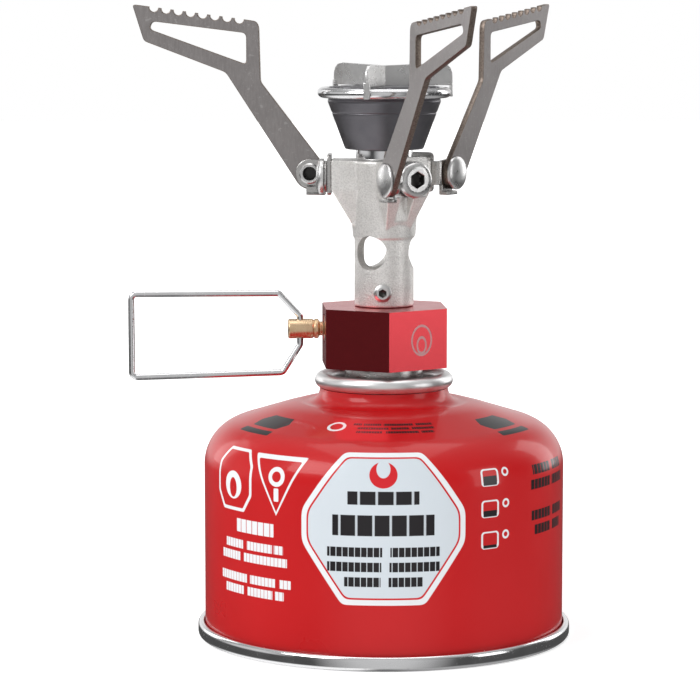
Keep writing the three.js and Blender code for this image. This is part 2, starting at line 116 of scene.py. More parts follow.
def spun(name, profile, place=ON_AXIS, segments=128, crease=32):
    """A piece turned about Z; a profile that stays off the axis closes on itself."""
    corners, faces, rings = [], [], []
    turns = [2 * math.pi * k / segments for k in range(segments)]
    for r, z in profile:
        if r == 0:
            rings.append([len(corners)] * segments)
            corners.append((0, 0, z))
        else:
            rings.append(list(range(len(corners), len(corners) + segments)))
            corners += [(r * math.cos(a), r * math.sin(a), z) for a in turns]
    nexts = rings[1:] if profile[0][0] == 0 else rings[1:] + rings[:1]
    for low, high in zip(rings, nexts):
        for k in range(segments):
            n = (k + 1) % segments
            face = list(dict.fromkeys([low[k], low[n], high[n], high[k]]))
            if len(face) > 2:
                faces.append(face)
    return made(name, corners, faces, place, crease)


CAN_R = 45.0
SHOULDER_Z = 43.3
SHOULDER_R = 11.6
SHOULDER_END = 75
shoulder_centre = (CAN_R - SHOULDER_R, SHOULDER_Z)
can_outside = [(CAN_R, 1.2), (CAN_R, 12), (CAN_R, 30)]
can_outside += arc(shoulder_centre, SHOULDER_R, 0, SHOULDER_END, 24)
cone_foot = Vector(can_outside[-1])
can_outside += [(26, 57.75), (21.5, 58.95)] + arc((19.6, 62.4), 3.6, 282, 180, 8)
can_inside = [(r - 0.5, z - 0.5) if z > SHOULDER_Z else (r - 0.5, z) for r, z in can_outside]
can_profile = can_outside + can_inside[::-1]

canister = spun("canister_shell", can_profile, segments=192, crease=50)


def surface_lengths(built):
    """A UV map in metres along the can: round it at the wall's radius, and up its outside."""
    mesh = built.data
    layer = mesh.uv_layers.new(name="print")
    for face in mesh.polygons:
        middle = face.center - AXIS
        ahead = math.atan2(middle.x, -middle.y)
        for index in face.loop_indices:
            at = mesh.vertices[mesh.loops[index].vertex_index].co - AXIS
            r, z = math.hypot(at.x, at.y) / MM, at.z / MM
            angle = math.atan2(at.x, -at.y)
            angle -= 2 * math.pi * round((angle - ahead) / (2 * math.pi))
            up = z
            if z > SHOULDER_Z:
                bend = math.atan2(z - SHOULDER_Z, r - shoulder_centre[0])
                up = SHOULDER_Z + SHOULDER_R * min(bend, math.radians(SHOULDER_END))
                if r < cone_foot.x:
                    up += math.hypot(cone_foot.x - r, z - cone_foot.y)
            layer.data[index].uv = (angle * CAN_R, up)


surface_lengths(canister)


def feed(tree, socket, term):
    """Gives a socket a constant, or a link from another socket."""
    if isinstance(term, bpy.types.NodeSocket):
        tree.links.new(term, socket)
    elif isinstance(term, tuple) and socket.type == "RGBA":
        socket.default_value = (*term, 1)
    else:
        socket.default_value = term


def maths(tree, operation, *terms):
    """A Math node on values or sockets; returns its output socket."""
    node = tree.nodes.new("ShaderNodeMath")
    node.operation = operation
    for socket, term in zip(node.inputs, terms):
        feed(tree, socket, term)
    return node.outputs[0]


def vector_maths(tree, operation, label, *terms):
    """A Vector Math node; returns its output socket of that name."""
    node = tree.nodes.new("ShaderNodeVectorMath")
    node.operation = operation
    for socket, term in zip(node.inputs, terms):
        feed(tree, socket, term)
    return node.outputs[label]


def mixed(tree, mask, under, over):
    """Colour over laid on colour under where mask is 1."""
    node = tree.nodes.new("ShaderNodeMix")
    node.data_type = "RGBA"
    for socket, term in zip((node.inputs[0], *node.inputs[6:8]), (mask, under, over)):
        feed(tree, socket, term)
    return node.outputs[2]


def span(tree, value, low, high, to_low=0.0, to_high=1.0):
    """A Map Range of value from low..high to to_low..to_high."""
    node = tree.nodes.new("ShaderNodeMapRange")
    for socket, term in zip(node.inputs, (value, low, high, to_low, to_high)):
        feed(tree, socket, term)
    return node.outputs[0]


def noise(tree, at, **values):
    """A Noise Texture's value at a position."""
    node = tree.nodes.new("ShaderNodeTexNoise")
    for label, value in {"Vector": at, **values}.items():
        feed(tree, node.inputs[label], value)
    return node.outputs[0]


def new_group(name, takes, gives):
    """A shader node group with named float or vector inputs and float outputs."""
    tree = bpy.data.node_groups.new(name, "ShaderNodeTree")
    kinds = {"value": "NodeSocketFloat", "vector": "NodeSocketVector"}
    for label, kind, default in takes:
        socket = tree.interface.new_socket(name=label, in_out="INPUT", socket_type=kinds[kind])
        socket.default_value = default
    for label in gives:
        tree.interface.new_socket(name=label, in_out="OUTPUT", socket_type=kinds["value"])
    source = tree.nodes.new("NodeGroupInput")
    sink = tree.nodes.new("NodeGroupOutput")
    return tree, source.outputs, sink.inputs


def placed(tree, group, **values):
    """A group in a material or another group; names use _ for a space."""
    node = tree.nodes.new("ShaderNodeGroup")
    node.node_tree = group
    for key, value in values.items():
        feed(tree, node.inputs[key.replace("_", " ")], value)
    return node.outputs


def material_named(name):
    material = bpy.data.materials.new(name)
    material.use_nodes = True
    tree = material.node_tree
    return material, tree, tree.nodes["Principled BSDF"]


def finished(tree, shader, colour, roughness, metallic=1.0):
    """Wires a material's colour and roughness, and sets how metallic it is."""
    tree.links.new(colour, shader.inputs["Base Color"])
    tree.links.new(roughness, shader.inputs["Roughness"])
    shader.inputs["Metallic"].default_value = metallic


def object_place(tree):
    return tree.nodes.new("ShaderNodeTexCoord").outputs["Object"]


def bumped(tree, shader, height, distance, strength=1.0):
    """Raises a material's surface by a height socket."""
    node = tree.nodes.new("ShaderNodeBump")
    node.inputs["Strength"].default_value = strength
    node.inputs["Distance"].default_value = distance
    tree.links.new(height, node.inputs["Height"])
    tree.links.new(node.outputs[0], shader.inputs["Normal"])


# Shared effect: worn and handled surface, as soft patches and fine hairline scratches.
handled, gets, puts = new_group(
    "handled_surface",
    [("Patch Size", "value", 60.0), ("Scratch Size", "value", 300.0)],
    ["Patches", "Scratches", "Height"])
spot = object_place(handled)
handled.links.new(noise(handled, spot, Scale=gets["Patch Size"], Detail=4), puts["Patches"])
hairs = []
for slant in ((1, 9, 2), (8, 1.2, 5)):
    stretch = vector_maths(handled, "MULTIPLY", "Vector", spot, slant)
    hair = noise(handled, stretch, Scale=gets["Scratch Size"], Detail=2, Distortion=0.4)
    hairs.append(span(handled, hair, 0.66, 0.72))
scratch = maths(handled, "MAXIMUM", *hairs)
handled.links.new(scratch, puts["Scratches"])
handled.links.new(maths(handled, "MULTIPLY", scratch, -1.0), puts["Height"])

# Printed marks: each group gives 1 inside a shape and 0 outside, in the can's own lengths.
PRINT_EDGE = 0.06


def new_mark(name, **shape):
    """A mark's group, its mask socket, its place's parts, and its maths on its inputs by name."""
    sizes = [(label.replace("_", " "), "value", size) for label, size in shape.items()]
    tree, gets, puts = new_group(
        name, [("Place", "vector", (0, 0, 0)), ("Across", "value", 0.0), ("Up", "value", 0.0), *sizes],
        ["Mask"])
    parts = tree.nodes.new("ShaderNodeSeparateXYZ")
    tree.links.new(gets["Place"], parts.inputs[0])

    def do(operation, *terms):
        return maths(tree, operation, *[gets[t] if isinstance(t, str) else t for t in terms])

    return tree, gets, puts["Mask"], parts.outputs, do


def inside(tree, distance):
    return span(tree, distance, PRINT_EDGE, -PRINT_EDGE)


box_mark, gets, mask, parts, do = new_mark("rounded_box_mark", Half_Width=1.0, Half_Height=1.0, Corner=0.3)
sides = []
for along, centre, half in ((parts[0], "Across", "Half Width"), (parts[1], "Up", "Half Height")):
    away = do("ABSOLUTE", do("SUBTRACT", along, centre))
    sides.append(do("ADD", do("SUBTRACT", away, half), "Corner"))
outside = [do("MAXIMUM", side, 0.0) for side in sides]
reach = do("SQRT", do("ADD", *[do("MULTIPLY", side, side) for side in outside]))
inward = do("MINIMUM", do("MAXIMUM", *sides), 0.0)
box_mark.links.new(inside(box_mark, do("SUBTRACT", do("ADD", reach, inward), "Corner")), mask)

line_mark, gets, mask, parts, do = new_mark(
    "greeked_line_mark", Half_Width=8.0, Half_Height=0.8, Block=1.3, Word_Gaps=1.0)
whole = placed(line_mark, box_mark, Corner=0.15, Place=gets["Place"], Across=gets["Across"], Up=gets["Up"],
               Half_Width=gets["Half Width"], Half_Height=gets["Half Height"])["Mask"]
along = do("DIVIDE", do("MULTIPLY", parts[0], 2 * math.pi), "Block")
start = do("MULTIPLY", "Up", 1.7)
waves = [do("SINE", do("ADD", do("MULTIPLY", along, pace), start)) for pace in (1.0, 0.23, 0.142)]
blocks = span(line_mark, waves[0], -0.96, -0.86, 0.15, 1.0)
pauses = do("MULTIPLY", do("ADD", waves[1], waves[2]), "Word Gaps")
words = span(line_mark, pauses, -1.5, -1.4)
line_mark.links.new(do("MULTIPLY", whole, do("MULTIPLY", blocks, words)), mask)

panel_mark, gets, mask, parts, do = new_mark(
    "eight_sided_mark", Half_Width=10.0, Half_Height=10.0, Cut=14.0, Corner=1.0)
x = do("ABSOLUTE", do("SUBTRACT", parts[0], "Across"))
y = do("ABSOLUTE", do("SUBTRACT", parts[1], "Up"))
slant = do("ADD", do("MULTIPLY", x, 0.82), do("MULTIPLY", y, 0.57))
flat = do("SMOOTH_MAX", do("SUBTRACT", x, "Half Width"), do("SUBTRACT", y, "Half Height"), "Corner")
whole = do("SMOOTH_MAX", flat, do("SUBTRACT", slant, "Cut"), "Corner")
panel_mark.links.new(inside(panel_mark, whole), mask)

triangle_mark, gets, mask, parts, do = new_mark(
    "rounded_triangle_mark", Half_Width=6.0, Half_Height=6.0, Corner=0.8)
x = do("ABSOLUTE", do("SUBTRACT", parts[0], "Across"))
y = do("SUBTRACT", parts[1], "Up")
lean = do("DIVIDE", do("MULTIPLY", "Half Height", 2.0), "Half Width")
drop = do("SUBTRACT", do("SUBTRACT", do("MULTIPLY", x, lean), y), "Half Height")
top = do("SUBTRACT", y, "Half Height")
whole = do("SMOOTH_MAX", top, do("MULTIPLY", drop, 0.45), "Corner")
triangle_mark.links.new(inside(triangle_mark, whole), mask)

disc_mark, gets, mask, parts, do = new_mark("disc_mark", Radius=2.0, Inside=0.0, Tall=1.0)
x = do("SUBTRACT", parts[0], "Across")
y = do("DIVIDE", do("SUBTRACT", parts[1], "Up"), "Tall")
r = do("SQRT", do("ADD", do("MULTIPLY", x, x), do("MULTIPLY", y, y)))
filled = inside(disc_mark, do("SUBTRACT", r, "Radius"))
hollow = inside(disc_mark, do("SUBTRACT", "Inside", r))
disc_mark.links.new(do("MULTIPLY", filled, hollow), mask)

LACQUER_RED = (0.50, 0.007, 0.009)
PRINT_WHITE = (0.76, 0.78, 0.80)
PRINT_PALE = (0.60, 0.655, 0.70)
PRINT_BLACK = (0.012, 0.010, 0.012)
PRINT_RED = (0.58, 0.012, 0.018)

lacquer, tree, shader = material_named("printed_red_lacquer")
where = tree.nodes.new("ShaderNodeUVMap")
where.uv_map = "print"
wear = placed(tree, handled, Patch_Size=35.0, Scratch_Size=140.0)
shade = tree.nodes.new("ShaderNodeVectorMath")
shade.operation = "SCALE"
shade.inputs[0].default_value = LACQUER_RED
tree.links.new(span(tree, wear["Patches"], 0.3, 0.7, 0.96, 1.04), shade.inputs["Scale"])
colour = shade.outputs[0]


def printed(kind, ink, across, up, half=None, **shape):
    """Lays one printed mark over what is printed so far."""
    global colour
    if half:
        shape["Half_Width"], shape["Half_Height"] = half
    mask = placed(tree, kind, Place=where.outputs[0], Across=across, Up=up, **shape)["Mask"]
    colour = mixed(tree, mask, colour, ink)


# The badge: an eight-sided panel with a crescent and lines of blocks.
BADGE_X = -0.6
for ink, inset in ((PRINT_WHITE, 0.0), (PRINT_RED, 1.3), (PRINT_PALE, 1.75)):
    printed(panel_mark, ink, BADGE_X, 34.4, (20.2 - inset, 18.6 - inset), Cut=18.8 - inset, Corner=1.6)
printed(disc_mark, PRINT_RED, BADGE_X, 47.2, Radius=3.4, Tall=0.95)
printed(disc_mark, PRINT_PALE, BADGE_X, 48.6, Radius=1.7, Tall=1.3)
printed(line_mark, PRINT_BLACK, BADGE_X, 41.6, (8.6, 1.6), Block=4.3, Word_Gaps=0.0)
printed(line_mark, PRINT_BLACK, BADGE_X, 35.0, (12.3, 2.5), Block=4.1, Word_Gaps=0.0)
for row, half in enumerate((13.6, 13.6, 9.4)):
    printed(line_mark, PRINT_BLACK, BADGE_X, 28.6 - 3.6 * row, (half, 1.15), Block=1.5)

# Two plain signs and lines of blocks on the left.
SIGN_X, TRIANGLE_X, NOTE_X = -43.2, -28.0, -36.2
for ink, inset in ((PRINT_WHITE, 0.0), (LACQUER_RED, 0.8)):
    printed(panel_mark, ink, SIGN_X, 43.4, (7.2 - inset, 7.8 - inset), Cut=8.0 - inset, Corner=0.5)
printed(disc_mark, PRINT_WHITE, SIGN_X, 41.8, Radius=3.4)
printed(disc_mark, LACQUER_RED, SIGN_X, 41.2, Radius=1.5, Tall=1.6)
for ink, inset in ((PRINT_WHITE, 0.0), (LACQUER_RED, 0.85)):
    printed(triangle_mark, ink, TRIANGLE_X, 43.4 - 0.25 * inset, (8.2 - 1.7 * inset, 7.4 - 1.2 * inset),
            Corner=0.9)
printed(disc_mark, PRINT_WHITE, TRIANGLE_X, 45.4, Radius=2.4, Inside=1.3)
printed(box_mark, PRINT_WHITE, TRIANGLE_X, 41.0, (0.7, 1.6))
printed(line_mark, PRINT_WHITE, NOTE_X, 32.2, (7.4, 1.6), Block=2.0)
for up, half in ((27.6, 10.2), (24.6, 12.0), (19.4, 12.4), (16.4, 10.4)):
    printed(line_mark, PRINT_WHITE, NOTE_X, up, (half, 1.05), Block=1.15)

# Three filling levels and lines of blocks on the right.
LEVEL_X = 26.6
for step, level in enumerate((0.75, 0.5, 0.25)):
    up = 45.4 - 7.6 * step
    printed(box_mark, PRINT_WHITE, LEVEL_X, up, (2.6, 2.1), Corner=0.9)
    printed(box_mark, LACQUER_RED, LEVEL_X, up + 0.15, (2.1, 1.6), Corner=0.6)
    printed(box_mark, PRINT_BLACK, LEVEL_X, up - 1.9 + 1.5 * level, (2.0, 1.5 * level), Corner=0.2)
    printed(disc_mark, PRINT_WHITE, LEVEL_X + 4.8, up + 1.0, Radius=1.1, Inside=0.6)
for up, half in ((45.6, 8.4), (42.0, 9.4), (34.4, 9.0), (30.8, 7.6)):
    printed(line_mark, PRINT_BLACK, 50.0, up, (half, 1.2), Block=1.6)

# On the shoulder, lines of blocks, a ring and two dark tabs; on each far side, a block of lines.
for row in range(3):
    printed(line_mark, PRINT_BLACK, 3.4, 66.4 - 2.1 * row, (15.4 - 1.2 * row, 0.6), Block=0.9)
printed(disc_mark, PRINT_WHITE, -17.6, 64.6, Radius=3.4, Inside=2.3, Tall=0.75)
for side in (-1, 1):
    printed(panel_mark, PRINT_BLACK, 45.5 * side, 63.0, (9.2, 3.2), Cut=7.4, Corner=0.6)
    printed(box_mark, PRINT_BLACK, 45.5 * side, 57.4, (7.6, 1.1), Corner=0.4)
for row, half in enumerate((15.0, 16.2, 15.6, 16.0, 14.2, 15.4, 10.4)):
    for side in (-1, 1):
        printed(line_mark, PRINT_BLACK, 98.0 * side, 41.0 - 3.4 * row, (half, 0.85), Block=1.1)
finished(tree, shader, colour, span(tree, wear["Patches"], 0.3, 0.7, 0.26, 0.36), metallic=0.0)
shader.inputs["Specular IOR Level"].default_value = 0.2
shader.inputs["Coat Weight"].default_value = 0.32
shader.inputs["Coat Roughness"].default_value = 0.08
bumped(tree, shader, wear["Patches"], 0.0002, 0.03)
settle(canister, lacquer, "canister", "red_lacquer", "canister_body")

# ---- Gas canister: seamed foot and crimped valve cup ----
# Both are bright tinplate pressings. The foot is rolled over the body's lower edge in a double
# seam, and the valve cup is crimped round the neck and carries the screw nipple.

foot_profile = eased([
    (0, 8.0), (15, 7.5), (30, 5.8), (42.2, 3.0), (43.5, 2.2), (43.9, 0.3), (44.5, 0), (46.2, 0),
    (46.8, 0.6), (46.8, 2.9), (46.3, 3.6), (45.25, 3.6), (45.2, 0.8), (44.2, 0.8), (44.1, 3.2),
    (42.6, 3.7), (30, 6.5), (15, 8.2), (0, 8.7)], 0.5, 5)
cup_profile = arc((15.4, 64.3), 1.9, -90, 180, 18)
cup_profile += eased([
    (13.5, 58.8), (12.8, 58.0), (6.4, 58.4), (5.5, 59.2), (5.5, 66.6), (2.6, 66.6), (2.6, 65.8),
    (4.9, 65.8), (4.9, 58.8), (6.2, 57.7), (13.1, 57.3), (14.1, 58.2), (14.1, 61.6)], 0.3)


def handled_finish(name, dark, light, rough, patch, scratch, dulled=0.0, metallic=1.0, nick=0.0):
    """A material mottled between two colours and two roughnesses, and dulled along its scratches."""
    material, tree, shader = material_named(name)
    wear = placed(tree, handled, Patch_Size=patch, Scratch_Size=scratch)
    sheen = span(tree, wear["Patches"], 0.3, 0.7, *rough)
    if dulled:
        sheen = maths(tree, "ADD", sheen, maths(tree, "MULTIPLY", wear["Scratches"], dulled))
    finished(tree, shader, mixed(tree, wear["Patches"], dark, light), sheen, metallic)
    if nick:
        bumped(tree, shader, wear["Height"], nick)
    return material


tin = handled_finish("bright_tinplate", (0.74, 0.74, 0.75), (0.86, 0.86, 0.87), (0.10, 0.2), 120.0, 420.0,
                     dulled=0.12)
settle(spun("canister_foot", foot_profile, segments=192), tin, "canister", "tinplate", "canister_base")
satin_tin = handled_finish("satin_tinplate", (0.74, 0.74, 0.74), (0.88, 0.88, 0.88), (0.30, 0.40), 260.0,
                           700.0, dulled=0.15, metallic=0.9)
settle(spun("crimped_cup", cup_profile, segments=160), satin_tin, "canister", "tinplate", "valve_cup")

# ---- Gas canister: self-closing valve ----
# A plastic housing, a brass stem, its spring and two rubber gaskets sit inside the valve cup.
# They are assembled before the cup is crimped, and only the stem shows, down the nipple's bore.

rubber = handled_finish("nitrile_rubber", (0.012, 0.012, 0.012), (0.035, 0.034, 0.033), (0.55, 0.75),
                        400.0, 900.0, metallic=0.0)
acetal = handled_finish("white_acetal", (0.70, 0.70, 0.66), (0.80, 0.80, 0.77), (0.4, 0.55), 300.0, 700.0,
                        metallic=0.0)

# Shared effect: fine parallel grain, drawn out along one direction.
grained, gets, puts = new_group(
    "drawn_grain", [("Lines", "vector", (3000.0, 60.0, 3000.0))], ["Grain"])
spot = object_place(grained)
stretch = vector_maths(grained, "MULTIPLY", "Vector", spot, gets["Lines"])
grained.links.new(noise(grained, stretch, Scale=1.0, Detail=5, Roughness=0.65), puts["Grain"])


def grained_finish(name, lines, depth, wear_sizes, dark, light, streak, rough, metallic=1.0):
    """A metal mottled between two colours, with streaks of a third along its grain."""
    material, tree, shader = material_named(name)
    grain = placed(tree, grained, Lines=lines)["Grain"]
    patch, scratch = wear_sizes
    wear = placed(tree, handled, Patch_Size=patch, Scratch_Size=scratch)
    ground = mixed(tree, wear["Patches"], dark, light)
    tint, low, high, most = streak
    colour = mixed(tree, span(tree, grain, low, high, 0.0, most), ground, tint)
    finished(tree, shader, colour, span(tree, grain, 0.3, 0.7, *rough), metallic)
    bumped(tree, shader, grain, depth)
    return material


turned_brass = grained_finish(
    "turned_brass", (5200.0, 160.0, 160.0), 0.00003, (420.0, 900.0), (0.66, 0.46, 0.27), (0.86, 0.64, 0.42),
    ((0.40, 0.26, 0.14), 0.62, 0.75, 0.35), (0.22, 0.42))
steel = grained_finish(
    "drawn_stainless", (700.0, 700.0, 4200.0), 0.00002, (160.0, 500.0), (0.40, 0.39, 0.38),
    (0.55, 0.54, 0.53), ((0.62, 0.61, 0.60), 0.35, 0.65, 0.4), (0.22, 0.38))

# The gaskets, rings, housing and inner brass are carried over from the CAD and take these finishes.
for material, nodes in ((rubber, ("cup_gasket", "stem_gasket", "connector_oring", "spindle_oring")),
                        (acetal, ("valve_housing",)),
                        (turned_brass, ("depressor_pin", "gas_filter", "gas_jet", "needle_spindle"))):
    for node in nodes:
        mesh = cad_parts[node].data
        mesh.materials.clear()
        mesh.materials.append(material)


def lofted(name, rings, place=ON_AXIS, crease=32):
    """A solid through rings of equally many corners, its first and last rings filled in."""
    count = len(rings[0])
    corners = [corner for ring in rings for corner in ring]
    faces = [list(range(count))[::-1], list(range(len(corners) - count, len(corners)))]
    for low in range(0, len(corners) - count, count):
        for k in range(count):
            n = (k + 1) % count
            faces.append([low + k, low + n, low + count + n, low + count + k])
    return made(name, corners, faces, place, crease)


SPRING_FOOT, SPRING_HEAD = 53.05, 61.65
SPRING_R = 2.35
SPRING_WIRE = 0.35
SPRING_COILS = 5
COIL_STEPS = 24
rings = []
for i in range(SPRING_COILS * COIL_STEPS + 1):
    turn = 2 * math.pi * i / COIL_STEPS
    climb = (SPRING_HEAD - SPRING_FOOT - 2 * SPRING_WIRE) * i / (SPRING_COILS * COIL_STEPS)
    rise = SPRING_FOOT + SPRING_WIRE + climb
    rings.append([(r * math.cos(turn), r * math.sin(turn), rise + lift)
                  for r, lift in arc((SPRING_R, 0), SPRING_WIRE, 0, 360, 10)[:-1]])
spring = lofted("coil_spring", rings, crease=60)
settle(spring, steel, "canister", "stainless_sheet", "valve_spring")
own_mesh(spring)
stem_profile = eased([(0, 56), (1.3, 56), (1.3, 61.8), (3.0, 61.8), (3.0, 64.2), (1.9, 64.6),
                      (1.9, 65.9), (0, 65.9)], 0.15)
settle(spun("brass_stem", stem_profile, segments=64), turned_brass, "stem", "machined_brass", "valve_stem")

# ---- Valve block and canister connector ----
# The block is cut from hexagon aluminium bar, bored and drilled, with its corners turned back
# at top and bottom, then anodised red. The steel connector is screwed up into its underside.

BLOCK_FLATS = 30.0
BLOCK_LOW, BLOCK_HIGH = 68.0, 82.8
BLOCK_TURN = 3.6
SPINDLE_Z = 77.15


def turned(degrees, axis):
    return Matrix.Rotation(math.radians(degrees), 4, axis)


def applied(target):
    """Works a piece's modifiers into its mesh."""
    bpy.context.view_layer.update()
    seen = target.evaluated_get(bpy.context.evaluated_depsgraph_get())
    target.data = bpy.data.meshes.new_from_object(seen)
    target.modifiers.clear()


def boolean(target, cutter, operation="DIFFERENCE"):
    """Cuts or joins with a helper object, which is then removed."""
    change = target.modifiers.new("cut", "BOOLEAN")
    change.operation = operation
    change.object = cutter
    change.solver = "EXACT"
    applied(target)
    bpy.data.objects.remove(cutter)
    return target


def bored(target, radius, near, far, place=ON_AXIS, segments=64):
    """Drills a round hole along a place's Z."""
    boolean(target, spun("bore", [(0, near), (radius, near), (radius, far), (0, far)], place, segments))


def bevelled(target, width, segments=3):
    """Rounds a piece's sharp edges by width in millimetres; its larger faces stay flat."""
    change = target.modifiers.new("edge", "BEVEL")
    change.width = width * MM
    change.segments = segments
    change.limit_method = "ANGLE"
    change.angle_limit = math.radians(30)
    applied(target)
    target.data.shade_smooth()
    target.data.set_sharp_from_angle(angle=math.radians(32))
    for face in target.data.polygons:
        if face.area > 2 * MM * MM:
            face.use_smooth = False
    return target


def prism(name, outline, low, high, place=ON_AXIS):
    """An upright prism on an outline in the XY plane."""
    return lofted(name, [[(x, y, z) for x, y in outline] for z in (low, high)], place)


block_place = ON_AXIS @ turned(BLOCK_TURN, "Z")
corner_r = BLOCK_FLATS / math.sqrt(3)
valve_block = prism("anodised_block", arc((0, 0), corner_r, 30, 330, 5), BLOCK_LOW, BLOCK_HIGH, block_place)
turned_back = [(0, BLOCK_LOW - 1), (corner_r - 1.6, BLOCK_LOW - 1), (corner_r + 1.5, BLOCK_LOW + 1.2),
               (corner_r + 1.5, BLOCK_HIGH - 1.2), (corner_r - 1.6, BLOCK_HIGH + 1), (0, BLOCK_HIGH + 1)]
boolean(valve_block, spun("corner_turning", turned_back, segments=160), "INTERSECT")
along_spindle = block_place @ Matrix.Translation((0, 0, SPINDLE_Z)) @ turned(90, "Y")
bored(valve_block, 2.3, -20, -1.6, along_spindle)
bored(valve_block, 3.7, -20, -9.8, along_spindle)
bored(valve_block, 8.6, 60, 75.2, segments=96)
bored(valve_block, 3.0, 78.5, 84)
bevelled(valve_block, 0.28)

anodised, tree, shader = material_named("red_anodised_aluminium")
grain = placed(tree, grained, Lines=(300.0, 300.0, 14000.0))["Grain"]
wear = placed(tree, handled, Patch_Size=150.0, Scratch_Size=520.0)
deep = mixed(tree, wear["Patches"], (0.36, 0.004, 0.012), (0.43, 0.007, 0.018))
edges = tree.nodes.new("ShaderNodeNewGeometry").outputs["Pointiness"]
worn = mixed(tree, span(tree, edges, 0.53, 0.62, 0.0, 0.5), deep, (0.62, 0.10, 0.11))
# A double drop is etched on one flat, laid out along that flat and up.
FLAT_TURN = math.radians(BLOCK_TURN - 60)
outward_face = (math.cos(FLAT_TURN), math.sin(FLAT_TURN), 0)
along_face = (-math.sin(FLAT_TURN), math.cos(FLAT_TURN), 0)
spot = object_place(tree)
spans = []
for direction in (along_face, (0, 0, 1), outward_face):
    shadow = vector_maths(tree, "DOT_PRODUCT", "Value", spot, direction)
    reach = maths(tree, "SUBTRACT", shadow, AXIS.dot(Vector(direction)))
    spans.append(maths(tree, "MULTIPLY", reach, 1 / MM))
flat_place = tree.nodes.new("ShaderNodeCombineXYZ")
for part, socket in zip(spans[:2], flat_place.inputs):
    tree.links.new(part, socket)
etched = 0.0
for radius, tall, up in ((3.1, 1.25, 75.4), (1.5, 1.5, 74.2)):
    outline = placed(tree, disc_mark, Place=flat_place.outputs[0], Across=1.0, Up=up, Radius=radius,
                     Inside=radius - 0.42, Tall=tall)["Mask"]
    etched = maths(tree, "MAXIMUM", outline, etched)
etched = maths(tree, "MULTIPLY", etched, span(tree, spans[2], 14.7, 14.8))
sheen = span(tree, grain, 0.3, 0.7, 0.23, 0.27)
finished(tree, shader, mixed(tree, maths(tree, "MULTIPLY", etched, 0.75), worn, (0.80, 0.55, 0.56)),
         maths(tree, "ADD", sheen, maths(tree, "MULTIPLY", etched, 0.25)))
bumped(tree, shader, grain, 0.0000008)
settle(valve_block, anodised, "stove", "red_anodised", "valve_block")

connector_profile = eased([
    (5.75, 62.6), (9.3, 62.6), (9.8, 63.1), (9.8, 67.5), (8.3, 67.8), (8.3, 75.0),
    (3.0, 75.0), (3.0, 67.25), (5.75, 67.25)], 0.25)
settle(spun("screw_connector", connector_profile), steel, "stove", "stainless_sheet",
       "threaded_connector")

# ---- Needle valve: gland, knob and folding wire handle ----
# The brass gland holds the spindle in the block. The knob is pressed on the spindle and cross-
# drilled, and the stainless wire handle springs into the cross hole so that it can fold aside.

gland_profile = eased([(1.95, -14.9), (3.4, -14.9), (3.4, -10.2), (1.95, -10.2)], 0.2)
settle(spun("brass_gland", gland_profile, along_spindle, 64), turned_brass, "stove", "machined_brass",
       "valve_gland")
knob_profile = eased([
    (0, -24.0), (2.2, -24.0), (2.45, -23.75), (2.45, -17.85), (2.2, -17.75), (2.2, -17.45),
    (2.45, -17.35), (2.45, -16.5), (1.75, -16.2), (1.75, -15.3), (1.4, -15.3), (1.4, -19.4),
    (0, -19.4)], 0.12)
knob = spun("brass_knob", knob_profile, along_spindle, 96)
HANDLE_X = -21.0
hole_place = block_place @ Matrix.Translation((HANDLE_X, 0, SPINDLE_Z))
bored(knob, 1.0, -4, 4, hole_place, 48)
bevelled(knob, 0.1, 2)
settle(knob, turned_brass, "spindle", "machined_brass", "spindle_knob")

WIRE_R = 0.8
WIRE_BEND = 1.3


def bent_path(corners, bend):
    """Points along a wire through corners, bent to this radius at each."""
    path = [Vector(corners[0])]
    for i in range(1, len(corners) - 1):
        before, here, after = (Vector(corner) for corner in corners[i - 1:i + 2])
        into, out = (here - before).normalized(), (after - here).normalized()
        turn = into.angle(out)
        side = 1 if into.cross(out) > 0 else -1
        start = here - into * bend * math.tan(turn / 2)
        centre = start + Vector((-into.y, into.x)) * bend * side
        steps = max(3, round(math.degrees(turn) / 9))
        first = math.degrees(math.atan2(start.y - centre.y, start.x - centre.x))
        path += [Vector(at) for at in arc(centre, bend, first, first + side * math.degrees(turn), steps)]
    return path + [Vector(corners[-1])]


handle_corners = [(HANDLE_X, 78.1), (HANDLE_X, 80.4), (-26.3, 86.05), (-63.0, 86.05), (-62.9, 65.2),
                  (-25.4, 66.2), (HANDLE_X, 73.2), (HANDLE_X, 76.2)]
path = bent_path(handle_corners, WIRE_BEND)
heads = [(end - start).normalized() for start, end in zip(path, path[1:])]
rings = []
for at, into, out in zip(path, [Vector((0, 0))] + heads, heads + [heads[-1]]):
    along = (into + out).normalized()
    rings.append([(at.x - along.y * c, s, at.y + along.x * c)
                  for c, s in arc((0, 0), WIRE_R, 0, 360, 20)[:-1]])
wire = lofted("bent_handle", rings, block_place, 50)
polished = handled_finish("polished_wire", (0.66, 0.66, 0.67), (0.80, 0.80, 0.81), (0.10, 0.20), 220.0,
                          600.0, dulled=0.15, nick=0.00001)
settle(wire, polished, "handle", "polished_wire", "wire_handle")

# ---- Burner body: one aluminium casting ----
# The mixing tube, cone and three ribbed pads are cast in one piece and bead-blasted. The air
# holes and the pad faces are machined afterwards, and a small screw locks it to the jet.

TUBE_R = 7.4
CAST_TOP = 119.3
CONE_FOOT = 100.0
PAD_R = 13.0
PAD_FOOT = 112.0
PAD_HALF = 5.9
SWIVEL_Z = 115.0
ARMS = {"left": -91.5, "front": 28.5, "back": 148.5}


